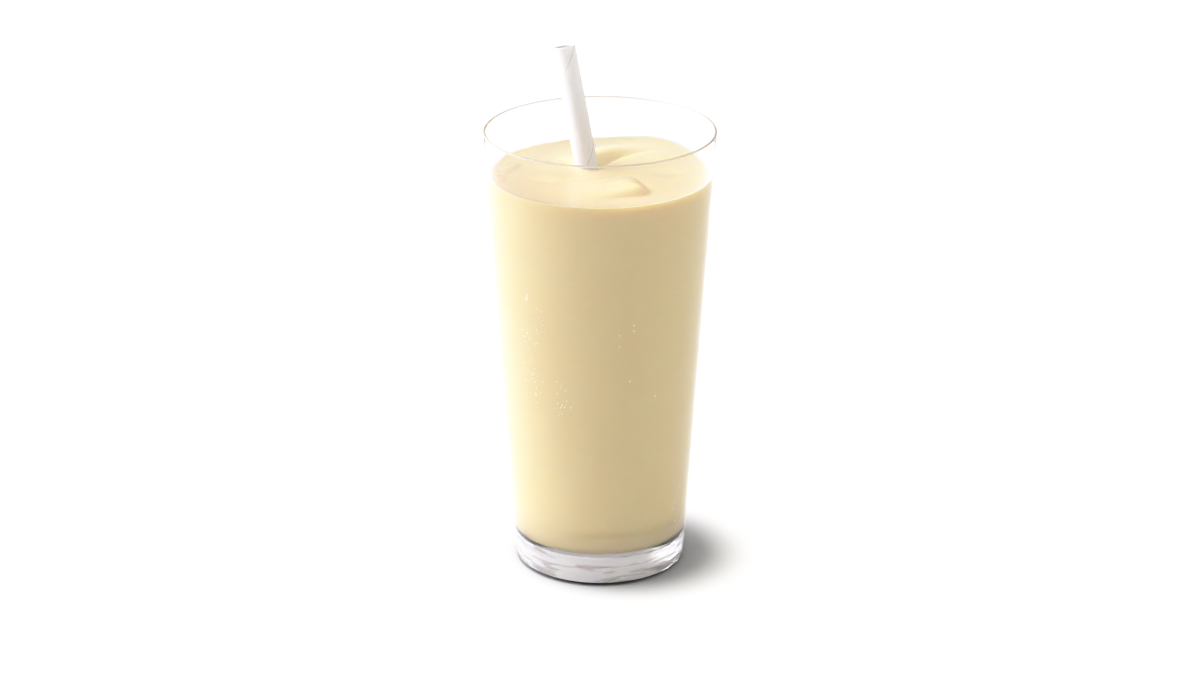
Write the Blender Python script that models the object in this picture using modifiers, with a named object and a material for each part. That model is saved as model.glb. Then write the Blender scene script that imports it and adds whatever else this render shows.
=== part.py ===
"""A vanilla milkshake in a tall tapered glass tumbler, with a white paper straw leaning in it.

Metres, +Z up. The tumbler stands on the origin and its axis is +Z. The viewer is on the -Y side.
"""

import math

import bpy
import numpy as np
from mathutils import Matrix, Vector

MM = 0.001

# Tumbler, in millimetres until the meshes are made
RIM_RADIUS = 42.0
FOOT_RADIUS = 31.15
GLASS_HEIGHT = 166.0
FLOOR_HEIGHT = 12.0
WALL_AT_FLOOR = 2.4
WALL_AT_RIM = 1.0
FOOT_CORNER = 2.5
FLOOR_CORNER = 4.0
FOOT_RING_INNER = 24.5
FOOT_RECESS = 1.4
GLASS_STEPS = 96

# Gap between pieces that touch
GAP = 0.3

# Straw
STRAW_RADIUS = 4.1
STRAW_WALL = 0.45
STRAW_LEAN_LEFT = 0.1847
STRAW_LEAN_BACK = 0.1478
STRAW_ENTRY = Vector((-4.95, 8.16, 150.5))
STRAW_FOOT_Z = 17.0
STRAW_TOP_Z = 192.7
STRAW_STEPS = 40

# Drink surface
DRINK_RINGS = 34
RING_SPREAD = 0.85
LEVEL = 149.5
MENISCUS_RISE = 0.6
MENISCUS_WIDTH = 1.8
HUMP_HEIGHT = 2.3
HUMP_CENTRE = (23.0, 31.0)
HUMP_WIDTH = 17.0
GROOVE_WIDTH = 1.9
SHARP_ANGLE = 50.0

# Ledges of the surface: each falls steeply to its foot line, and the surface is high on the left of
# the line. The heights are spread evenly along the line, rise is how soon the ledge is high, run is
# how far it reaches, and groove is the share of its height that is cut below the foot line.
STRAW_LEDGE = {
    "foot": [
        (-5.0, 3.2),
        (-1.4, 4.6),
        (-0.4, 8.0),
        (0.6, 11.0),
        (2.2, 14.2),
        (4.8, 17.2),
        (8.8, 19.8),
        (15.2, 21.6),
        (24.0, 22.5),
    ],
    "heights": (0.0, 2.6, 4.0, 3.2, 1.8, 0.6, 0.0),
    "rise": 2.7,
    "run": 10.0,
    "groove": 0.35,
}
VALLEY_LEDGE = {
    "foot": [
        (-28.0, -5.0),
        (-23.0, -7.6),
        (-18.0, -9.8),
        (-13.0, -10.7),
        (-8.0, -10.4),
        (-2.0, -9.8),
        (6.0, -8.6),
    ],
    "heights": (0.0, 0.8, 1.2, 0.7, 0.5, 0.0),
    "rise": 3.4,
    "run": 9.0,
    "groove": 0.15,
}
TONGUE_LEDGE = {
    "foot": [
        (-12.0, -30.0),
        (-5.0, -29.0),
        (1.0, -28.0),
        (7.0, -26.6),
        (12.0, -24.9),
        (15.6, -23.4),
        (17.3, -21.4),
        (17.3, -18.6),
        (16.2, -14.6),
        (14.4, -9.6),
        (12.9, -5.2),
        (12.0, -2.0),
    ],
    "heights": (0.0, 0.2, 1.1, 2.3, 3.7, 3.5, 2.2, 0.0),
    "rise": 3.6,
    "run": 12.0,
    "groove": 0.12,
}
RIPPLE_LEDGES = [
    {
        "foot": [(-35.0, 1.4), (-33.4, 2.8), (-30.8, 5.0), (-28.4, 8.4), (-27.6, 11.0)],
        "heights": (0.0, 1.0, 0.8, 0.0),
        "rise": 1.5,
        "run": 4.0,
        "groove": 0.2,
    },
    {
        "foot": [(-37.6, -5.2), (-36.2, -4.2), (-33.8, -2.6), (-32.0, 0.8), (-31.6, 2.0)],
        "heights": (0.0, 0.9, 0.7, 0.0),
        "rise": 1.4,
        "run": 3.5,
        "groove": 0.2,
    },
    {
        "foot": [(-38.4, -13.0), (-37.0, -12.2), (-34.8, -10.4), (-33.2, -7.0), (-33.0, -5.0)],
        "heights": (0.0, 0.9, 0.7, 0.0),
        "rise": 1.4,
        "run": 3.5,
        "groove": 0.2,
    },
]

# Round rises and dips: centre x and y, half-widths along x and y, height
SWELLS = [
    (24.5, 1.0, 6.0, 4.0, -0.55),
    (-6.0, -18.0, 14.0, 7.0, 0.35),
]


def clear_scene():
    for obj in list(bpy.data.objects):
        bpy.data.objects.remove(obj, do_unlink=True)


def make_collection(name):
    collection = bpy.data.collections.new(name)
    bpy.context.scene.collection.children.link(collection)
    return collection


def make_material(name, colour, roughness, transmission=0.0):
    material = bpy.data.materials.new(name)
    material.use_nodes = True
    shader = material.node_tree.nodes["Principled BSDF"]
    shader.inputs["Base Color"].default_value = (*colour, 1.0)
    shader.inputs["Roughness"].default_value = roughness
    shader.inputs["Metallic"].default_value = 0.0
    shader.inputs["Transmission Weight"].default_value = transmission
    return material


def add_object(name, mesh, collection, material=None):
    obj = bpy.data.objects.new(name, mesh)
    collection.objects.link(obj)
    if material:
        mesh.materials.append(material)
    return obj


def outer_radius(z):
    """Outer radius of the tumbler's straight wall at height z."""
    return FOOT_RADIUS + (RIM_RADIUS - FOOT_RADIUS) * z / GLASS_HEIGHT


def inner_radius(z):
    """Inner radius of the tumbler's wall at height z."""
    share = (z - FLOOR_HEIGHT) / (GLASS_HEIGHT - FLOOR_HEIGHT)
    return outer_radius(z) - (WALL_AT_FLOOR + (WALL_AT_RIM - WALL_AT_FLOOR) * share)


def corner_arc(radius_at, floor, corner, count):
    """Points of a rounded corner from a flat floor up to a tapered wall."""
    slope = radius_at(floor + 1.0) - radius_at(floor)
    centre = radius_at(floor + corner) - corner * math.sqrt(1.0 + slope * slope)
    first = -math.pi / 2.0
    last = -math.atan(slope)
    points = []
    for i in range(count + 1):
        angle = first + (last - first) * i / count
        points.append((centre + corner * math.cos(angle), floor + corner + corner * math.sin(angle)))
    return points


def tumbler_profile():
    """From the middle of the floor up the inside, over the lip and down the outside to the recess."""
    lip = WALL_AT_RIM / 2.0
    lip_height = GLASS_HEIGHT - lip
    points = [(0.0, FLOOR_HEIGHT)]
    points += corner_arc(inner_radius, FLOOR_HEIGHT, FLOOR_CORNER, 5)
    points += [(inner_radius(z), z) for z in (55.0, 100.0, 140.0, lip_height)]
    middle = (inner_radius(lip_height) + outer_radius(lip_height)) / 2.0
    for degrees in (135.0, 90.0, 45.0):
        angle = math.radians(degrees)
        points.append((middle + lip * math.cos(angle), lip_height + lip * math.sin(angle)))
    points += [(outer_radius(z), z) for z in (lip_height, 120.0, 75.0, 35.0)]
    points += reversed(corner_arc(outer_radius, 0.0, FOOT_CORNER, 4))
    points += [
        (FOOT_RING_INNER, 0.0),
        (FOOT_RING_INNER - 1.5, FOOT_RECESS * 0.4),
        (FOOT_RING_INNER - 5.0, FOOT_RECESS * 0.7),
        (FOOT_RING_INNER - 13.0, FOOT_RECESS * 0.93),
        (0.0, FOOT_RECESS),
    ]
    return points


def turned(name, profile, steps, collection, material=None, closed=False):
    """A solid of revolution about its own Z axis, from (radius, height) points in millimetres."""
    mesh = bpy.data.meshes.new(name)
    points = [(radius * MM, 0.0, height * MM) for radius, height in profile]
    edges = [(i, i + 1) for i in range(len(points) - 1)]
    if closed:
        edges.append((len(points) - 1, 0))
    mesh.from_pydata(points, edges, [])
    obj = add_object(name, mesh, collection, material)
    screw = obj.modifiers.new("turn", "SCREW")
    screw.axis = "Z"
    screw.angle = math.tau
    screw.steps = steps
    screw.render_steps = steps
    screw.use_merge_vertices = True
    screw.merge_threshold = 0.00005
    screw.use_smooth_shade = True
    return obj


def straw_axis():
    rise = math.sqrt(1.0 - STRAW_LEAN_LEFT**2 - STRAW_LEAN_BACK**2)
    return Vector((-STRAW_LEAN_LEFT, STRAW_LEAN_BACK, rise))


def straw_foot():
    """Middle of the straw's lower end."""
    axis = straw_axis()
    return STRAW_ENTRY + axis * ((STRAW_FOOT_Z - STRAW_ENTRY.z) / axis.z)


def straw_length():
    return (STRAW_TOP_Z - STRAW_FOOT_Z) / straw_axis().z


def place_on_straw_axis(obj):
    turn = straw_axis().to_track_quat("Z", "Y").to_matrix().to_4x4()
    obj.matrix_world = Matrix.Translation(straw_foot() * MM) @ turn


def tube_profile(outer, inner, low, high):
    """A tube's wall in section: up the bore, over the end and down the outside."""
    return [(inner, low), (inner, high), (outer, high), (outer, low)]


def smooth_line(line, per_span=8):
    """Points of a smooth curve that passes through the points of a line."""
    ends = np.array([line[0], *line, line[-1]])
    share = np.linspace(0.0, 1.0, per_span, endpoint=False)[:, None]
    spans = []
    for a, b, c, d in zip(ends, ends[1:], ends[2:], ends[3:]):
        bend = (2.0 * a - 5.0 * b + 4.0 * c - d) * share**2
        twist = (3.0 * b - a - 3.0 * c + d) * share**3
        spans.append(0.5 * (2.0 * b + (c - a) * share + bend + twist))
    spans.append(ends[-1:])
    return np.concatenate(spans)


def nearest_on_line(line, x, y):
    """Signed distance from a bent line, positive on its left, and the share of its length passed."""
    best = np.full(x.shape, np.inf)
    side = np.zeros(x.shape)
    along = np.zeros(x.shape)
    passed = 0.0
    for (ax, ay), (bx, by) in zip(line, line[1:]):
        dx, dy = bx - ax, by - ay
        length = math.hypot(dx, dy)
        share = np.clip(((x - ax) * dx + (y - ay) * dy) / length**2, 0.0, 1.0)
        gap = np.hypot(x - ax - dx * share, y - ay - dy * share)
        closer = gap < best
        best = np.where(closer, gap, best)
        side = np.where(closer, np.sign(dx * (y - ay) - dy * (x - ax)), side)
        along = np.where(closer, passed + length * share, along)
        passed += length
    return best * side, along / passed


def ledge_height(ledge, x, y):
    """Height of a ledge, which rises from a groove along its foot line and then runs out."""
    offset, along = nearest_on_line(smooth_line(ledge["foot"]), x, y)
    distance = np.maximum(offset, 0.0)
    heights = ledge["heights"]
    top = np.interp(along, np.linspace(0.0, 1.0, len(heights)), heights)
    rise = 1.0 - np.exp(-distance / ledge["rise"])
    run_out = np.exp(-((distance / ledge["run"]) ** 2))
    groove = ledge["groove"] * np.exp(-((offset / GROOVE_WIDTH) ** 2))
    return top * (rise * run_out - groove)


def swell_height(swell, x, y):
    cx, cy, wx, wy, height = swell
    return height * np.exp(-(((x - cx) / wx) ** 2) - ((y - cy) / wy) ** 2)


def surface_height(x, y):
    """Height of the drink's top surface, in millimetres, for arrays of points."""
    hump = np.exp(-((x - HUMP_CENTRE[0]) ** 2 + (y - HUMP_CENTRE[1]) ** 2) / HUMP_WIDTH**2)
    z = LEVEL + HUMP_HEIGHT * hump
    for ledge in [STRAW_LEDGE, VALLEY_LEDGE, TONGUE_LEDGE, *RIPPLE_LEDGES]:
        z = z + ledge_height(ledge, x, y)
    for swell in SWELLS:
        z = z + swell_height(swell, x, y)
    inside = np.maximum(0.0, drink_radius(LEVEL) - np.hypot(x, y))
    return z + MENISCUS_RISE * np.exp(-inside / MENISCUS_WIDTH)


def drink_radius(z):
    """Radius of the drink's side at height z."""
    return inner_radius(z) - GAP


def drink_profile():
    """From the middle of the flat top out to the wall, down it and in along the floor."""
    edge = drink_radius(LEVEL)
    points = [(edge * (i / DRINK_RINGS) ** RING_SPREAD, LEVEL) for i in range(DRINK_RINGS + 1)]
    points += [(drink_radius(z), z) for z in (145.0, 115.0, 80.0, 45.0)]
    points += reversed(corner_arc(drink_radius, FLOOR_HEIGHT + GAP, FLOOR_CORNER - GAP, 4))
    points.append((0.0, FLOOR_HEIGHT + GAP))
    return points


def raise_swirls(mesh):
    """Moves the flat top of the turned drink to the swirled surface, and out along the sloping wall."""
    top = [vert for vert in mesh.vertices if vert.co.z > (LEVEL - GAP) * MM]
    x = np.array([vert.co.x for vert in top]) / MM
    y = np.array([vert.co.y for vert in top]) / MM
    z = surface_height(x, y)
    spread = drink_radius(z) / drink_radius(LEVEL)
    for vert, point in zip(top, np.column_stack((x * spread, y * spread, z))):
        vert.co = point * MM
    mesh.set_sharp_from_angle(angle=math.radians(SHARP_ANGLE))


def apply_modifiers(obj):
    bpy.context.view_layer.objects.active = obj
    for modifier in list(obj.modifiers):
        bpy.ops.object.modifier_apply(modifier=modifier.name)


def cut(obj, cutter):
    boolean = obj.modifiers.new("cut", "BOOLEAN")
    boolean.operation = "DIFFERENCE"
    boolean.solver = "EXACT"
    boolean.object = cutter


def build():
    clear_scene()
    parts = make_collection("vanilla_milkshake")
    cutters = make_collection("cutters")
    cutters.hide_render = True

    clear_glass = make_material("clear_glass", (0.93, 0.95, 0.95), 0.03, transmission=1.0)
    vanilla = make_material("vanilla_milkshake", (0.93, 0.79, 0.53), 0.25)
    paper = make_material("white_paper", (0.86, 0.85, 0.83), 0.7)

    turned("glass", tumbler_profile(), GLASS_STEPS, parts, clear_glass)

    inner = STRAW_RADIUS - STRAW_WALL
    straw_profile = tube_profile(STRAW_RADIUS, inner, 0.0, straw_length())
    straw = turned("straw", straw_profile, STRAW_STEPS, parts, paper, closed=True)
    place_on_straw_axis(straw)

    milkshake = turned("milkshake", drink_profile(), GLASS_STEPS, parts, vanilla)
    apply_modifiers(milkshake)
    raise_swirls(milkshake.data)
    room_profile = tube_profile(STRAW_RADIUS + GAP, inner - GAP, -GAP, straw_length())
    room = turned("straw_room", room_profile, STRAW_STEPS, cutters, closed=True)
    place_on_straw_axis(room)
    room.hide_render = True
    room.display_type = "WIRE"
    cut(milkshake, room)


build()
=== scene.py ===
"""Looks of the vanilla milkshake: clear tumbler, swirled drink with small bubbles, paper straw.

The world is in metres with +Z up, and shapes are worked out in millimetres. The tumbler stands
on the origin and the viewer is on the -Y side.
"""

import math

import bpy
import numpy as np
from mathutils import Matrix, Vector


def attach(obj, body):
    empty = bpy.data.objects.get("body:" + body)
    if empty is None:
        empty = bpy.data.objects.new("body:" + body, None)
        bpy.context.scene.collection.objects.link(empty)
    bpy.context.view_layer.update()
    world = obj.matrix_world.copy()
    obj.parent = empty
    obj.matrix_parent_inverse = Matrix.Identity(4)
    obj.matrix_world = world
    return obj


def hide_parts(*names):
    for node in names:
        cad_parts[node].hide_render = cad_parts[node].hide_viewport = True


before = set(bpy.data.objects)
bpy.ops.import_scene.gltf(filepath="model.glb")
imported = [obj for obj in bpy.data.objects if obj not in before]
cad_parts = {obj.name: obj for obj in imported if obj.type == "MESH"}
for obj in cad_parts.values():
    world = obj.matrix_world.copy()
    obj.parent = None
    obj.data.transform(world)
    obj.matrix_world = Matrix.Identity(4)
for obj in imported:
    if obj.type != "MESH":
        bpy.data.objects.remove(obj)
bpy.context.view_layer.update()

MM = 0.001

# Camera, fitted to the tumbler's outline in the photograph
CAMERA_BACK = 1.100
CAMERA_HEIGHT = 0.5152
CAMERA_PITCH = math.radians(21.31)
CAMERA_LENS = 96.52
CAMERA_SENSOR = 36.0

# Tumbler
RIM_RADIUS = 42.0
FOOT_RADIUS = 31.15
GLASS_HEIGHT = 166.0
FLOOR_HEIGHT = 12.0
WALL_AT_FLOOR = 2.4
WALL_AT_RIM = 1.0
FOOT_CORNER = 2.5
FLOOR_CORNER = 4.0
FOOT_RING_INNER = 24.5
FOOT_RECESS = 1.4
GLASS_SEGMENTS = 256
FLOOR_CORNER_STEPS = 14
FOOT_CORNER_STEPS = 12
FOOT_CORNER_CLEAR = 4
FOOT_RING_STEPS = 3
RECESS_STEPS = 24
LIP_STEPS = 12
NEAR_CORNER = 0.15

# Straw, with sparse rows inside the drink and dense rows from just under its surface
STRAW_RADIUS = 4.1
STRAW_WALL = 0.45
STRAW_LEAN_LEFT = 0.1847
STRAW_LEAN_BACK = 0.1478
STRAW_ENTRY = np.array([-4.95, 8.16, 150.5])
STRAW_FOOT_Z = 17.0
STRAW_TOP_Z = 192.7
STRAW_COLUMNS = 96
STRAW_SPARSE_ROWS = 30
STRAW_SPARSE_BELOW = 8.0
STRAW_DENSE_ROWS = 150
STRAW_DENSE_BELOW = 7.0
SEAM_PITCH = 37.0
SEAM_STEP = 0.10
SEAM_GROOVE = 0.12
SEAM_GROOVE_SHARE = 0.006
SEAM_BELOW_TOP = 7.0

# Drink: rings over its surface, a few rows close below its edge, then even rows down its side
LEVEL = 149.5
INTO_WALL = 0.15
DRINK_SEGMENTS = 360
SURFACE_RINGS = 120
# Outermost rings of the surface carry a painted highlight.
HIGHLIGHT_RINGS = 3
EDGE_DROPS = (NEAR_CORNER, 0.6, 1.5)
SIDE_TOP = 146.0
SIDE_ROWS = 40
DRINK_CORNER_STEPS = 12
MENISCUS_RISE = 0.6
MENISCUS_WIDTH = 1.8
HUMP_HEIGHT = 2.3
HUMP_CENTRE = (23.0, 31.0)
HUMP_WIDTH = 17.0
GROOVE_WIDTH = 1.9

# Ledges of the surface: each falls steeply to its foot line, and is high on the line's left
SPAN_STEPS = 8
STRAW_LEDGE = {
    "foot": [
        (-5.0, 3.2),
        (-1.4, 4.6),
        (-0.4, 8.0),
        (0.6, 11.0),
        (2.2, 14.2),
        (4.8, 17.2),
        (8.8, 19.8),
        (15.2, 21.6),
        (24.0, 22.5),
    ],
    "heights": (0.0, 2.6, 4.0, 3.2, 1.8, 0.6, 0.0),
    "rise": 2.7,
    "run": 10.0,
    "groove": 0.35,
}
VALLEY_LEDGE = {
    "foot": [
        (-28.0, -5.0),
        (-23.0, -7.6),
        (-18.0, -9.8),
        (-13.0, -10.7),
        (-8.0, -10.4),
        (-2.0, -9.8),
        (6.0, -8.6),
    ],
    "heights": (0.0, 0.8, 1.2, 0.7, 0.5, 0.0),
    "rise": 3.4,
    "run": 9.0,
    "groove": 0.15,
}
TONGUE_LEDGE = {
    "foot": [
        (-12.0, -30.0),
        (-5.0, -29.0),
        (1.0, -28.0),
        (7.0, -26.6),
        (12.0, -24.9),
        (15.6, -23.4),
        (17.3, -21.4),
        (17.3, -18.6),
        (16.2, -14.6),
        (14.4, -9.6),
        (12.9, -5.2),
        (12.0, -2.0),
    ],
    "heights": (0.0, 0.2, 1.1, 2.3, 3.7, 3.5, 2.2, 0.0),
    "rise": 3.6,
    "run": 12.0,
    "groove": 0.12,
}
RIPPLE_LEDGES = [
    {
        "foot": [(-35.0, 1.4), (-33.4, 2.8), (-30.8, 5.0), (-28.4, 8.4), (-27.6, 11.0)],
        "heights": (0.0, 1.0, 0.8, 0.0),
        "rise": 1.5,
        "run": 4.0,
        "groove": 0.2,
    },
    {
        "foot": [(-37.6, -5.2), (-36.2, -4.2), (-33.8, -2.6), (-32.0, 0.8), (-31.6, 2.0)],
        "heights": (0.0, 0.9, 0.7, 0.0),
        "rise": 1.4,
        "run": 3.5,
        "groove": 0.2,
    },
    {
        "foot": [(-38.4, -13.0), (-37.0, -12.2), (-34.8, -10.4), (-33.2, -7.0), (-33.0, -5.0)],
        "heights": (0.0, 0.9, 0.7, 0.0),
        "rise": 1.4,
        "run": 3.5,
        "groove": 0.2,
    },
]
LEDGES = [STRAW_LEDGE, VALLEY_LEDGE, TONGUE_LEDGE, *RIPPLE_LEDGES]

# Low swells of the surface: centre, width across and along, height
SWELLS = [
    (24.5, 1.0, 6.0, 4.0, -0.55),
    (-6.0, -18.0, 14.0, 7.0, 0.35),
]

# Air bubbles against the wall: angle and height of each group, its spread along both, and how many
BUBBLE_GROUPS = [
    (-133.5, 111.5, 1.0, 1.0, 4),
    (-124.0, 105.5, 4.0, 3.0, 9),
    (-131.5, 96.0, 5.0, 3.0, 13),
    (-131.0, 80.5, 4.0, 6.0, 22),
    (-113.0, 74.5, 4.0, 5.0, 18),
    (-74.5, 102.5, 4.0, 1.0, 4),
    (-78.5, 96.5, 0.5, 0.5, 1),
    (-71.5, 83.5, 0.5, 0.5, 1),
    (-55.5, 75.0, 0.5, 0.5, 1),
    (-24.0, 31.0, 9.0, 4.0, 7),
    (-28.0, 19.0, 7.0, 2.5, 9),
]
BUBBLE_RADII = (0.16, 0.38)
BUBBLE_COLUMNS = 10
BUBBLE_ROWS = 6
BUBBLE_SEED = 7

# Colours as linear red, green and blue; a pair is mottled together
CLEAR_GLASS = (0.975, 0.97, 0.98)
# The upper glass tints are painted shade: darker than clear glass at the front, and greyer at the
# back.
UPPER_GLASS_FRONT_SHADE = (0.93, 0.925, 0.92)
UPPER_GLASS_BACK_SHADE = (0.84, 0.83, 0.845)
# Brownish, half-clear colour of the rim: painted shade for the darker room seen in the lip.
RIM_PAINTED_SHADE = (0.58, 0.53, 0.47)
FOOT_GLASS = (1.0, 0.98, 0.98)
# Near-black opaque ring at the bottom of the foot: a painted contact shadow.
CONTACT_SHADOW_GLASS = (0.012, 0.011, 0.010)
BASE_GLASS = (1.0, 0.975, 0.975)
# Darker streaks in the thick base: painted shade for the lines that refraction shows there.
BASE_SHADE_STREAKS = (0.55, 0.50, 0.49)
DRINK_TOP = ((0.925, 0.705, 0.395), (0.935, 0.72, 0.42))
# Lighter colour at the back of the drink's top: painted light.
DRINK_TOP_BACK_LIT = (0.99, 0.785, 0.505)
# The side is a darker, more saturated copy of the drink's colour: painted shade.
DRINK_SIDE_SHADED = ((0.675, 0.55, 0.278), (0.683, 0.562, 0.293))
# Whiter outermost rings of the surface: a painted highlight along the meniscus.
DRINK_EDGE_HIGHLIGHT = ((0.99, 0.91, 0.80), (0.995, 0.92, 0.82))
# Whitish bottom of the drink: painted light, so the glass base shows pale.
DRINK_FOOT_LIT = ((0.98, 0.95, 0.88), (0.99, 0.97, 0.92))
BUBBLE_SKIN = ((1.0, 0.94, 0.78), (1.0, 0.96, 0.84))
PAPER = ((0.73, 0.72, 0.715), (0.79, 0.78, 0.775))
PAPER_SEAM = ((0.50, 0.485, 0.47), (0.56, 0.545, 0.53))
PALE_FLOOR = ((0.396, 0.396, 0.396), (0.404, 0.404, 0.404))

# Refractive indexes: the thin walls and the rim have less than real glass, to reflect little
THIN_WALL_INDEX = 1.25
THICK_GLASS_INDEX = 1.5
RIM_INDEX = 1.3
DRINK_INDEX = 1.36

# Lights of the room: direction, the cosine at which the soft edge starts, and strength
KEY_LIGHT = ((-1.0, 0.3, 0.15), 0.6, 9.6)
FILL_LIGHT = ((1.0, -0.1, 0.1), 0.6, 1.08)
TOP_LIGHT = ((-0.1, 0.0, 1.0), 0.4, 0.82)
BASE_LIGHT = 0.34
ROOM_COLOUR = (1.0, 0.995, 0.985)
KEY_COLOUR = (0.975, 0.975, 1.15)

# How often light may pass or be mirrored, so that the edges of the glass don't turn dark
MOST_BOUNCES = 32
MOST_MIRRORINGS = 16

# Lamp for the floor alone
FLOOR_LAMP_FROM = (-0.05, -0.01, 1.0)
FLOOR_LAMP_ENERGY = 8.8
FLOOR_LAMP_ANGLE = math.radians(9.0)
FLOOR_LAMP_COLOUR = (1.0, 0.975, 0.93)
FLOOR_HALF_WIDTH = 6.0

# Soft highlights, as pairs of light received and light shown
WHITE_POINT = 1.3
HIGHLIGHTS = [(0.5, 0.5), (0.7, 0.685), (0.85, 0.805), (1.0, 0.905), (1.15, 0.97)]


def outer_radius(z):
    return FOOT_RADIUS + (RIM_RADIUS - FOOT_RADIUS) * z / GLASS_HEIGHT


def inner_radius(z):
    share = (z - FLOOR_HEIGHT) / (GLASS_HEIGHT - FLOOR_HEIGHT)
    return outer_radius(z) - (WALL_AT_FLOOR + (WALL_AT_RIM - WALL_AT_FLOOR) * share)


def corner_arc(radius_at, floor, corner, count):
    """Points of a rounded corner from a flat floor up to a tapered wall."""
    slope = radius_at(floor + 1.0) - radius_at(floor)
    centre = radius_at(floor + corner) - corner * math.sqrt(1.0 + slope * slope)
    angles = np.linspace(-math.pi / 2.0, -math.atan(slope), count + 1)
    return [(centre + corner * math.cos(a), floor + corner + corner * math.sin(a)) for a in angles]


def straight(start, end, count):
    """Points along a straight run, without its two ends."""
    return [tuple(np.array(start) + (np.array(end) - start) * i / count) for i in range(1, count)]


def smooth_line(line):
    """A Catmull-Rom curve through the points of a line."""
    p = np.array([line[0], *line, line[-1]], dtype=float)
    t = np.linspace(0.0, 1.0, SPAN_STEPS, endpoint=False)[:, None]
    out = []
    for i in range(1, len(p) - 2):
        a, b, c, d = p[i - 1], p[i], p[i + 1], p[i + 2]
        bend = 2 * a - 5 * b + 4 * c - d
        twist = 3 * b - a - 3 * c + d
        out.append(0.5 * (2 * b + (c - a) * t + bend * t**2 + twist * t**3))
    out.append(p[-1:])
    return np.concatenate(out)


def nearest_on_line(line, x, y):
    """Signed distance from a bent line, positive on its left, and the share of the line passed."""
    best = np.full(x.shape, np.inf)
    side = np.zeros(x.shape)
    along = np.zeros(x.shape)
    passed = 0.0
    for (ax, ay), (bx, by) in zip(line[:-1], line[1:]):
        dx, dy = bx - ax, by - ay
        length = math.hypot(dx, dy)
        share = np.clip(((x - ax) * dx + (y - ay) * dy) / length**2, 0.0, 1.0)
        gap = np.hypot(x - ax - dx * share, y - ay - dy * share)
        closer = gap < best
        best = np.where(closer, gap, best)
        side = np.where(closer, np.sign(dx * (y - ay) - dy * (x - ax)), side)
        along = np.where(closer, passed + length * share, along)
        passed += length
    return best * side, along / passed


def ledge_height(ledge, x, y):
    """Height of a ledge, which rises from a groove along its foot line and then runs out."""
    offset, along = nearest_on_line(smooth_line(ledge["foot"]), x, y)
    distance = np.maximum(offset, 0.0)
    heights = ledge["heights"]
    top = np.interp(along, np.linspace(0.0, 1.0, len(heights)), heights)
    groove = ledge["groove"] * np.exp(-((offset / GROOVE_WIDTH) ** 2))
    rise = 1.0 - np.exp(-distance / ledge["rise"])
    return top * (rise * np.exp(-((distance / ledge["run"]) ** 2)) - groove)


def surface_height(x, y):
    """Height of the drink's top surface, in millimetres, for arrays of points."""
    x = np.asarray(x, dtype=float)
    y = np.asarray(y, dtype=float)
    from_hump = (x - HUMP_CENTRE[0]) ** 2 + (y - HUMP_CENTRE[1]) ** 2
    z = LEVEL + HUMP_HEIGHT * np.exp(-from_hump / HUMP_WIDTH**2)
    for ledge in LEDGES:
        z = z + ledge_height(ledge, x, y)
    for cx, cy, wx, wy, height in SWELLS:
        z = z + height * np.exp(-(((x - cx) / wx) ** 2) - ((y - cy) / wy) ** 2)
    inside = np.maximum(0.0, inner_radius(LEVEL) - np.hypot(x, y))
    return z + MENISCUS_RISE * np.exp(-inside / MENISCUS_WIDTH)


def add_mesh(name, vertices, faces, material, replaced=()):
    """A smooth-shaded piece from vertices in millimetres, riding on the body."""
    mesh = bpy.data.meshes.new(name)
    mesh.from_pydata((np.asarray(vertices) * MM).tolist(), [], faces)
    mesh.shade_smooth()
    mesh.materials.append(material)
    obj = bpy.data.objects.new(name, mesh)
    bpy.context.scene.collection.objects.link(obj)
    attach(obj, "root")
    for node in replaced:
        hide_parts(node)
    return obj


def add_materials(obj, materials, index):
    """Gives a piece more materials, and each face the one of its index."""
    for material in materials:
        obj.data.materials.append(material)
    obj.data.polygons.foreach_set("material_index", index)


def ring_of(radius, z, angles):
    """Vertices of a level ring round Z."""
    return zip(radius * np.cos(angles), radius * np.sin(angles), np.full(len(angles), z))


def ring_faces(count, first, second):
    """Quads between two rings of the same count, given by their first vertices."""
    return [
        (first + (i + 1) % count, first + i, second + i, second + (i + 1) % count)
        for i in range(count)
    ]


def cap_faces(count, middle, ring):
    """Triangles between a middle vertex and a ring, anticlockwise round the ring."""
    return [(middle, ring + i, ring + (i + 1) % count) for i in range(count)]


def reverse(faces):
    return [face[::-1] for face in faces]


def solid_faces(count, rings):
    """Faces of a solid made of rings between its first and its last vertex."""
    faces = cap_faces(count, 0, 1)
    for ring in range(rings - 1):
        faces += ring_faces(count, 1 + ring * count, 1 + (ring + 1) * count)
    return faces + reverse(cap_faces(count, 1 + rings * count, 1 + (rings - 1) * count))


def revolve(profile, segments):
    """Vertices and faces of a solid turned about Z.

    The profile holds (radius, height) points, and starts and ends on the axis.
    """
    angles = np.arange(segments) * math.tau / segments
    vertices = [(0.0, 0.0, profile[0][1])]
    for radius, z in profile[1:-1]:
        vertices.extend(ring_of(radius, z, angles))
    vertices.append((0.0, 0.0, profile[-1][1]))
    return vertices, solid_faces(segments, len(profile) - 2)


def new_material(name):
    material = bpy.data.materials.new(name)
    material.use_nodes = True
    tree = material.node_tree
    return material, tree, tree.nodes["Principled BSDF"]


def add_noise(tree, scale, detail, roughness=0.5, stretch=(1.0, 1.0, 1.0)):
    """The factor of a noise texture in object space."""
    where = tree.nodes.new("ShaderNodeTexCoord")
    mapping = tree.nodes.new("ShaderNodeMapping")
    mapping.inputs["Scale"].default_value = stretch
    texture = tree.nodes.new("ShaderNodeTexNoise")
    texture.inputs["Scale"].default_value = scale
    texture.inputs["Detail"].default_value = detail
    texture.inputs["Roughness"].default_value = roughness
    tree.links.new(where.outputs["Object"], mapping.inputs["Vector"])
    tree.links.new(mapping.outputs["Vector"], texture.inputs["Vector"])
    return texture.outputs["Fac"]


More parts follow.
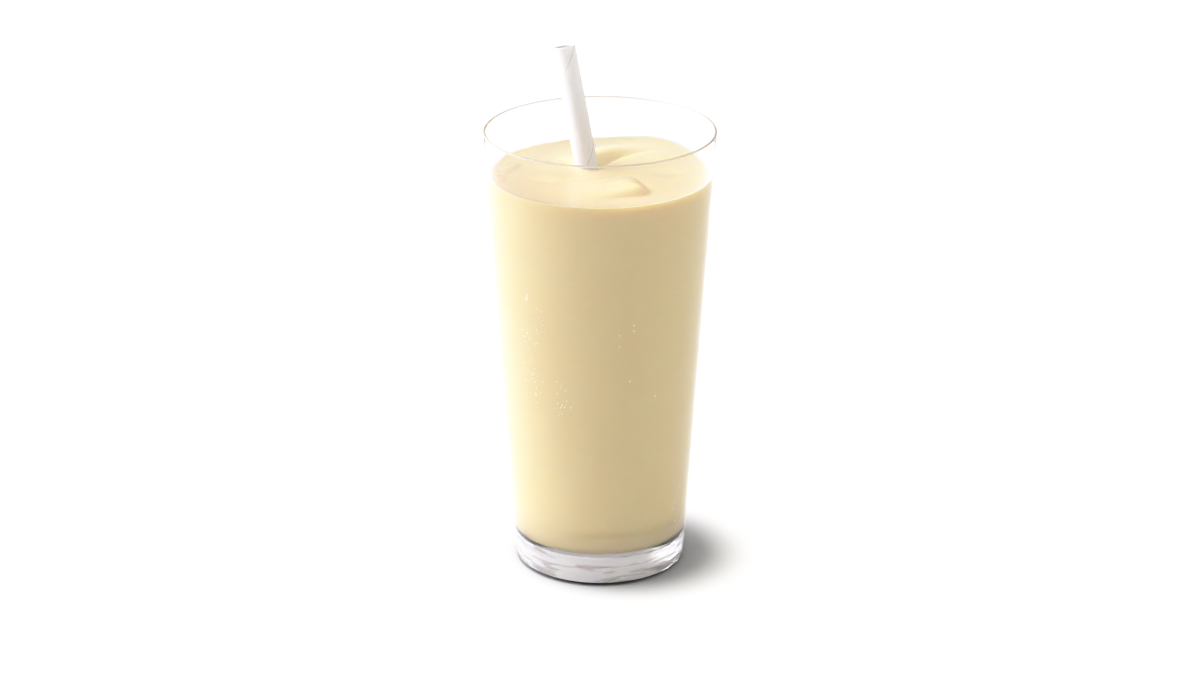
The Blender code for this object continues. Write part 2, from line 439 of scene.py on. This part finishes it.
def add_range(tree, source, low, high, to_low, to_high):
    """Maps a value's range onto another, and holds it at both ends."""
    node = tree.nodes.new("ShaderNodeMapRange")
    node.inputs["From Min"].default_value = low
    node.inputs["From Max"].default_value = high
    node.inputs["To Min"].default_value = to_low
    node.inputs["To Max"].default_value = to_high
    tree.links.new(source, node.inputs["Value"])
    return node.outputs["Result"]


def add_share(tree, source, low, high):
    """How far a value has come from low to high, from 0 to 1."""
    return add_range(tree, source, low, high, 0.0, 1.0)


def add_share_back(tree, low, high):
    """How far a point lies towards the back, from 0 to 1 between two values of Y."""
    where = tree.nodes.new("ShaderNodeTexCoord")
    split = tree.nodes.new("ShaderNodeSeparateXYZ")
    tree.links.new(where.outputs["Object"], split.inputs["Vector"])
    return add_share(tree, split.outputs["Y"], low, high)


def add_colour_mix(tree, factor, first, second):
    """Mixes two colours by a factor. The first may also be a node's output."""
    node = tree.nodes.new("ShaderNodeMix")
    node.data_type = "RGBA"
    if isinstance(first, bpy.types.NodeSocket):
        tree.links.new(first, node.inputs["A"])
    else:
        node.inputs["A"].default_value = (*first, 1.0)
    node.inputs["B"].default_value = (*second, 1.0)
    tree.links.new(factor, node.inputs["Factor"])
    return node.outputs["Result"]


def add_bump(tree, shader, height, distance):
    node = tree.nodes.new("ShaderNodeBump")
    node.inputs["Distance"].default_value = distance
    tree.links.new(height, node.inputs["Height"])
    tree.links.new(node.outputs["Normal"], shader.inputs["Normal"])


def glass_material(name, colour, clearness, index=THICK_GLASS_INDEX):
    """Pressed glass with a trace of handling marks, clear at 1 and frosted at 0."""
    material, tree, shader = new_material(name)
    shader.inputs["Base Color"].default_value = (*colour, 1.0)
    shader.inputs["Transmission Weight"].default_value = clearness
    shader.inputs["IOR"].default_value = index
    marks = add_noise(tree, scale=60.0, detail=4.0)
    roughness = add_range(tree, marks, 0.45, 0.75, to_low=0.0, to_high=0.05)
    tree.links.new(roughness, shader.inputs["Roughness"])
    return material


def upper_glass_material():
    """The thin glass above the drink, tinted with painted shade: darker than clear glass, and a
    little greyer towards the back.
    """
    material, tree, shader = new_material("glass_upper_shaded")
    back = add_share_back(tree, -0.03, 0.02)
    colour = add_colour_mix(tree, back, UPPER_GLASS_FRONT_SHADE, UPPER_GLASS_BACK_SHADE)
    tree.links.new(colour, shader.inputs["Base Color"])
    shader.inputs["Transmission Weight"].default_value = 1.0
    shader.inputs["IOR"].default_value = THIN_WALL_INDEX
    shader.inputs["Roughness"].default_value = 0.0
    return material


def base_glass_material():
    """The thick glass under the drink, wavy enough to break up what shows through it, and streaked
    with painted shade.
    """
    material, tree, shader = new_material("glass_base")
    waves = add_noise(tree, scale=75.0, detail=2.0, roughness=0.4, stretch=(1.0, 1.0, 7.0))
    colour = add_colour_mix(tree, add_share(tree, waves, 0.56, 0.66), BASE_GLASS, BASE_SHADE_STREAKS)
    tree.links.new(colour, shader.inputs["Base Color"])
    shader.inputs["Transmission Weight"].default_value = 0.7
    shader.inputs["IOR"].default_value = THICK_GLASS_INDEX
    shader.inputs["Roughness"].default_value = 0.0
    add_bump(tree, shader, waves, distance=0.0006)
    return material


def drink_material(name, colours, depth, roughness, specular, back=None):
    """Thick vanilla milkshake: light gets in and comes out warmer.

    A colour for the back paints light there: the colour turns towards it at the back.
    """
    material, tree, shader = new_material(name)
    mottle = add_noise(tree, scale=45.0, detail=5.0)
    colour = add_colour_mix(tree, add_share(tree, mottle, 0.3, 0.7), *colours)
    if back:
        colour = add_colour_mix(tree, add_share_back(tree, -0.01, 0.025), colour, back)
    tree.links.new(colour, shader.inputs["Base Color"])
    shader.inputs["Subsurface Weight"].default_value = 1.0
    shader.inputs["Subsurface Radius"].default_value = (1.0, 0.6, 0.25)
    shader.inputs["Subsurface Scale"].default_value = depth
    shader.inputs["Roughness"].default_value = roughness
    shader.inputs["IOR"].default_value = DRINK_INDEX
    shader.inputs["Specular IOR Level"].default_value = specular
    return material


def bubble_material():
    """The bright skin of an air bubble, which mirrors the room."""
    material, tree, shader = new_material("bubble_skin")
    colour = add_colour_mix(tree, add_noise(tree, scale=900.0, detail=2.0), *BUBBLE_SKIN)
    tree.links.new(colour, shader.inputs["Base Color"])
    shader.inputs["Metallic"].default_value = 1.0
    shader.inputs["Roughness"].default_value = 0.3
    return material


def paper_material(name, colours):
    """Matt paper with fine fibres, which lets a little light through."""
    material, tree, shader = new_material(name)
    fibres = add_noise(tree, scale=900.0, detail=4.0, roughness=0.6, stretch=(1.0, 1.0, 0.3))
    colour = add_colour_mix(tree, add_share(tree, fibres, 0.3, 0.7), *colours)
    tree.links.new(colour, shader.inputs["Base Color"])
    shader.inputs["Subsurface Weight"].default_value = 0.4
    shader.inputs["Subsurface Radius"].default_value = (1.0, 1.0, 1.0)
    shader.inputs["Subsurface Scale"].default_value = 0.0004
    shader.inputs["Roughness"].default_value = 0.75
    add_bump(tree, shader, fibres, distance=0.00006)
    return material


def make_tumbler():
    lip = WALL_AT_RIM / 2.0
    lip_height = GLASS_HEIGHT - lip
    middle = (inner_radius(lip_height) + outer_radius(lip_height)) / 2.0
    inner_corner = corner_arc(inner_radius, FLOOR_HEIGHT, FLOOR_CORNER, FLOOR_CORNER_STEPS)
    outer_corner = corner_arc(outer_radius, 0.0, FOOT_CORNER, FOOT_CORNER_STEPS)[::-1]
    lip_arc = [
        (middle + lip * math.cos(a), lip_height + lip * math.sin(a))
        for a in np.radians(np.linspace(180.0, 0.0, LIP_STEPS + 1))
    ]
    ring_radii = np.linspace(outer_corner[-1][0], FOOT_RING_INNER, FOOT_RING_STEPS + 1)[1:]
    base_corner = outer_corner[:FOOT_CORNER_CLEAR]
    contact_shadow_corner = outer_corner[FOOT_CORNER_CLEAR:]
    recess = [
        (FOOT_RING_INNER * (1.0 - s), FOOT_RECESS * (1.0 - (1.0 - s) ** 4))
        for s in np.linspace(0.0, 1.0, RECESS_STEPS + 1)[1:]
    ]

    def inside(z):
        return (inner_radius(z), z)

    def outside(z):
        return (outer_radius(z), z)

    # Rings close to each rounded corner keep the straight walls free of its shading
    corner_top = inside(inner_corner[-1][1] + NEAR_CORNER)
    inside_lip = inside(lip_height - NEAR_CORNER)
    outside_lip = outside(lip_height - NEAR_CORNER)
    foot_top = outside(outer_corner[0][1] + NEAR_CORNER)
    outside_floor = outside(FLOOR_HEIGHT)

    # Runs of the outline from the floor's middle, over the rim, to the middle of the foot.
    # Each face takes the material of the point that its strip ends on. The wall's low strip has
    # the index of the base, so that no dark patch shows where the two meet.
    clear, upper, rim, contact_shadow, foot, base, low = range(7)
    runs = [
        (clear, [(0.0, FLOOR_HEIGHT), *straight((0.0, FLOOR_HEIGHT), inner_corner[0], 8)]),
        (clear, [*inner_corner, corner_top]),
        (clear, straight(corner_top, inside(LEVEL), 20)),
        (upper, [inside(LEVEL), *straight(inside(LEVEL), inside_lip, 4), inside_lip, lip_arc[0]]),
        (rim, lip_arc[1:]),
        (upper, [outside_lip, *straight(outside_lip, outside(LEVEL), 4)]),
        (clear, [outside(LEVEL), *straight(outside(LEVEL), outside_floor, 18)]),
        (low, [outside_floor]),
        (base, [*straight(outside_floor, foot_top, 4), foot_top, *base_corner]),
        # The lowest part of the foot's corner and its standing ring carry the painted contact
        # shadow.
        (contact_shadow, [*contact_shadow_corner, *((radius, 0.0) for radius in ring_radii)]),
        (foot, recess),
    ]
    profile = [point for _, points in runs for point in points]
    slots = [slot for slot, points in runs for _ in points]
    vertices, faces = revolve(profile, GLASS_SEGMENTS)
    clear_glass = glass_material("clear_glass", CLEAR_GLASS, 0.98, THIN_WALL_INDEX)
    obj = add_mesh("tumbler", vertices, faces, clear_glass, ["glass"])
    others = [
        upper_glass_material(),
        # Painted shade on the rim.
        glass_material("glass_rim_shaded", RIM_PAINTED_SHADE, 0.5, RIM_INDEX),
        # Painted contact shadow: black and not clear.
        glass_material("contact_shadow_ring", CONTACT_SHADOW_GLASS, 0.0),
        glass_material("glass_foot", FOOT_GLASS, 0.3),
        base_glass_material(),
        glass_material("glass_low", CLEAR_GLASS, 0.98),
    ]
    add_materials(obj, others, np.repeat(np.array(slots[1:], dtype=np.int32), GLASS_SEGMENTS))


def make_drink():
    """The drink fills the tumbler and reaches just into its wall."""
    angles = np.arange(DRINK_SEGMENTS) * math.tau / DRINK_SEGMENTS

    def wall(z):
        return inner_radius(z) + INTO_WALL

    vertices = [(0.0, 0.0, float(surface_height(0.0, 0.0)))]
    edge = wall(LEVEL)
    for share in np.linspace(0.0, 1.0, SURFACE_RINGS + 1)[1:]:
        x = edge * share * np.cos(angles)
        y = edge * share * np.sin(angles)
        z = surface_height(x, y)
        spread = wall(z) / edge
        vertices.extend(zip(x * spread, y * spread, z))
    edge_height = z
    for drop in EDGE_DROPS:
        z = edge_height - drop
        vertices.extend(zip(wall(z) * np.cos(angles), wall(z) * np.sin(angles), z))
    bottom = FLOOR_HEIGHT - INTO_WALL
    corner = corner_arc(wall, bottom, FLOOR_CORNER, DRINK_CORNER_STEPS)[::-1]
    side_heights = np.linspace(SIDE_TOP, corner[0][1] + NEAR_CORNER, SIDE_ROWS)
    profile = [*((wall(z), z) for z in side_heights), *corner]
    for radius, z in profile:
        vertices.extend(ring_of(radius, z, angles))
    vertices.append((0.0, 0.0, bottom))
    faces = solid_faces(DRINK_SEGMENTS, SURFACE_RINGS + len(EDGE_DROPS) + len(profile))

    top, side, edge_highlight, foot = range(4)
    surface_faces = DRINK_SEGMENTS * SURFACE_RINGS
    highlight_faces = DRINK_SEGMENTS * HIGHLIGHT_RINGS
    index = np.full(len(faces), side, dtype=np.int32)
    index[:surface_faces] = top
    index[surface_faces - highlight_faces:surface_faces] = edge_highlight
    index[-DRINK_SEGMENTS:] = foot
    # The top surface turns lighter towards the back: painted light.
    top_material = drink_material(
        "milkshake_top", DRINK_TOP, depth=0.002, roughness=0.22, specular=0.5, back=DRINK_TOP_BACK_LIT
    )
    obj = add_mesh("drink", vertices, faces, top_material, ["milkshake"])
    others = [
        # Painted shade: the side is darker than the top.
        drink_material("milkshake_side_shaded", DRINK_SIDE_SHADED, depth=0.0065, roughness=0.55, specular=1.0),
        # Painted highlight on the outermost rings of the surface.
        drink_material("milkshake_edge_highlight", DRINK_EDGE_HIGHLIGHT, depth=0.002, roughness=0.2, specular=1.0),
        # Painted light: the drink's bottom is whitish.
        drink_material("milkshake_foot_lit", DRINK_FOOT_LIT, depth=0.004, roughness=0.5, specular=0.5),
    ]
    add_materials(obj, others, index)


def ball(centre, radius):
    """Vertices and faces of a small ball."""
    angles = np.arange(BUBBLE_COLUMNS) * math.tau / BUBBLE_COLUMNS
    vertices = [(0.0, 0.0, -radius)]
    for row in range(1, BUBBLE_ROWS):
        tilt = math.pi * row / BUBBLE_ROWS - math.pi / 2.0
        vertices.extend(ring_of(radius * math.cos(tilt), radius * math.sin(tilt), angles))
    vertices.append((0.0, 0.0, radius))
    return np.array(vertices) + centre, reverse(solid_faces(BUBBLE_COLUMNS, BUBBLE_ROWS - 1))


def make_bubbles():
    """Small bubbles caught between the drink and the wall."""
    draw = np.random.default_rng(BUBBLE_SEED)
    vertices = []
    faces = []
    for angle, z, angle_spread, z_spread, count in BUBBLE_GROUPS:
        for _ in range(count):
            turn = math.radians(angle + angle_spread * draw.normal())
            height = z + z_spread * draw.normal()
            reach = inner_radius(height) + INTO_WALL
            centre = np.array([reach * math.cos(turn), reach * math.sin(turn), height])
            new_vertices, new_faces = ball(centre, draw.uniform(*BUBBLE_RADII))
            faces += [tuple(len(vertices) + i for i in face) for face in new_faces]
            vertices.extend(new_vertices)
    add_mesh("air_bubbles", vertices, faces, bubble_material())


def straw_frame():
    """The straw's lower middle point, and its sideways, back and lengthways directions."""
    rise = math.sqrt(1.0 - STRAW_LEAN_LEFT**2 - STRAW_LEAN_BACK**2)
    along = np.array([-STRAW_LEAN_LEFT, STRAW_LEAN_BACK, rise])
    side = np.cross([0.0, 1.0, 0.0], along)
    side /= np.linalg.norm(side)
    back = np.cross(along, side)
    foot = STRAW_ENTRY + along * ((STRAW_FOOT_Z - STRAW_ENTRY[2]) / along[2])
    return foot, side, back, along


def make_straw():
    """A paper tube whose grid of vertices winds with its spiral seam."""
    foot, side, back, along = straw_frame()
    length = (STRAW_TOP_Z - STRAW_FOOT_Z) / along[2]
    under = length - (STRAW_TOP_Z - STRAW_ENTRY[2]) / along[2]
    sparse = np.linspace(0.0, under - STRAW_SPARSE_BELOW, STRAW_SPARSE_ROWS)
    dense = np.linspace(under - STRAW_DENSE_BELOW, length, STRAW_DENSE_ROWS)
    rows = np.concatenate([sparse, dense])
    seam_turn = math.radians(-90.0) - math.tau * (length - SEAM_BELOW_TOP) / SEAM_PITCH
    shares = np.arange(STRAW_COLUMNS) / STRAW_COLUMNS
    to_seam = np.minimum(shares, 1.0 - shares) / SEAM_GROOVE_SHARE
    outside = STRAW_RADIUS - SEAM_STEP * shares**6 - SEAM_GROOVE * np.exp(-(to_seam**2))
    inside = np.full(STRAW_COLUMNS, STRAW_RADIUS - STRAW_WALL)
    vertices = []
    for radius, stations in ((outside, rows), (inside, rows[::-1])):
        for s in stations:
            angle = seam_turn + math.tau * (s / SEAM_PITCH + shares)
            sideways = np.outer(radius * np.cos(angle), side)
            backwards = np.outer(radius * np.sin(angle), back)
            vertices.extend(foot + sideways + backwards + along * s)
    total = 2 * len(rows)
    faces = []
    for row in range(total):
        next_row = (row + 1) % total
        faces += reverse(ring_faces(STRAW_COLUMNS, row * STRAW_COLUMNS, next_row * STRAW_COLUMNS))
    paper = paper_material("white_paper", PAPER)
    obj = add_mesh("paper_straw", vertices, faces, paper, ["straw"])
    index = np.zeros(len(faces), dtype=np.int32)
    index[:STRAW_COLUMNS * (len(rows) - 1):STRAW_COLUMNS] = 1
    add_materials(obj, [paper_material("paper_seam", PAPER_SEAM)], index)


def make_floor():
    mesh = bpy.data.meshes.new("floor")
    half = FLOOR_HALF_WIDTH
    corners = [(-half, -half, 0.0), (half, -half, 0.0), (half, half, 0.0), (-half, half, 0.0)]
    mesh.from_pydata(corners, [], [(0, 1, 2, 3)])
    material, tree, shader = new_material("pale_floor")
    colour = add_colour_mix(tree, add_noise(tree, scale=20.0, detail=2.0), *PALE_FLOOR)
    tree.links.new(colour, shader.inputs["Base Color"])
    shader.inputs["Roughness"].default_value = 0.6
    shader.inputs["Specular IOR Level"].default_value = 0.2
    mesh.materials.append(material)
    obj = bpy.data.objects.new("floor", mesh)
    bpy.context.scene.collection.objects.link(obj)
    return obj


def light_floor(floor):
    """A lamp nearly overhead for the floor alone, which stays white round a soft shadow."""
    data = bpy.data.lights.new("floor_lamp", "SUN")
    data.energy = FLOOR_LAMP_ENERGY
    data.color = FLOOR_LAMP_COLOUR
    data.angle = FLOOR_LAMP_ANGLE
    lamp = bpy.data.objects.new("floor_lamp", data)
    bpy.context.scene.collection.objects.link(lamp)
    lamp.rotation_euler = Vector(FLOOR_LAMP_FROM).to_track_quat("Z", "Y").to_euler()
    lamp.visible_glossy = False
    lamp.visible_transmission = False
    lit = bpy.data.collections.new("lit_floor")
    lit.objects.link(floor)
    lamp.light_linking.receiver_collection = lit


def add_lobe(tree, direction, start, strength):
    """A soft area of light in the sky round one direction."""
    where = tree.nodes.new("ShaderNodeTexCoord")
    dot = tree.nodes.new("ShaderNodeVectorMath")
    dot.operation = "DOT_PRODUCT"
    dot.inputs[1].default_value = Vector(direction).normalized()
    tree.links.new(where.outputs["Generated"], dot.inputs[0])
    lobe = add_range(tree, dot.outputs["Value"], start, 1.0, 0.0, strength)
    lobe.node.interpolation_type = "SMOOTHSTEP"
    return lobe


def add_sum(tree, first, second):
    node = tree.nodes.new("ShaderNodeMath")
    node.operation = "ADD"
    tree.links.new(first, node.inputs[0])
    tree.links.new(second, node.inputs[1])
    return node.outputs["Value"]


def make_light():
    """A pale room: bright and cooler on the left, softer on the right and above, dim elsewhere."""
    world = bpy.data.worlds.new("pale_room")
    bpy.context.scene.world = world
    world.use_nodes = True
    tree = world.node_tree
    background = tree.nodes["Background"]
    base = tree.nodes.new("ShaderNodeValue")
    base.outputs[0].default_value = BASE_LIGHT
    key = add_lobe(tree, *KEY_LIGHT)
    key_and_top = add_sum(tree, key, add_lobe(tree, *TOP_LIGHT))
    fill_and_base = add_sum(tree, add_lobe(tree, *FILL_LIGHT), base.outputs[0])
    tree.links.new(add_sum(tree, key_and_top, fill_and_base), background.inputs["Strength"])
    key_share = add_share(tree, key, 0.0, KEY_LIGHT[2])
    colour = add_colour_mix(tree, key_share, ROOM_COLOUR, KEY_COLOUR)
    tree.links.new(colour, background.inputs["Color"])


def make_camera():
    data = bpy.data.cameras.new("camera")
    data.lens = CAMERA_LENS
    data.sensor_width = CAMERA_SENSOR
    camera = bpy.data.objects.new("camera", data)
    camera.location = (0.0, -CAMERA_BACK, CAMERA_HEIGHT)
    camera.rotation_euler = (math.pi / 2.0 - CAMERA_PITCH, 0.0, 0.0)
    bpy.context.scene.collection.objects.link(camera)
    bpy.context.scene.camera = camera


def let_light_through():
    cycles = bpy.context.scene.cycles
    cycles.max_bounces = MOST_BOUNCES
    cycles.transmission_bounces = MOST_BOUNCES
    cycles.glossy_bounces = MOST_MIRRORINGS


def set_view():
    """Shows colours as they are, with soft highlights."""
    view = bpy.context.scene.view_settings
    view.view_transform = "Standard"
    view.look = "None"
    view.exposure = 0.0
    view.gamma = 1.0
    view.use_curve_mapping = True
    curve = view.curve_mapping
    curve.white_level = (WHITE_POINT, WHITE_POINT, WHITE_POINT)
    points = curve.curves[3].points
    for light, shown in HIGHLIGHTS:
        points.new(light / WHITE_POINT, shown)
    curve.update()


make_tumbler()
make_drink()
make_bubbles()
make_straw()
light_floor(make_floor())
make_light()
make_camera()
let_light_through()
set_view()
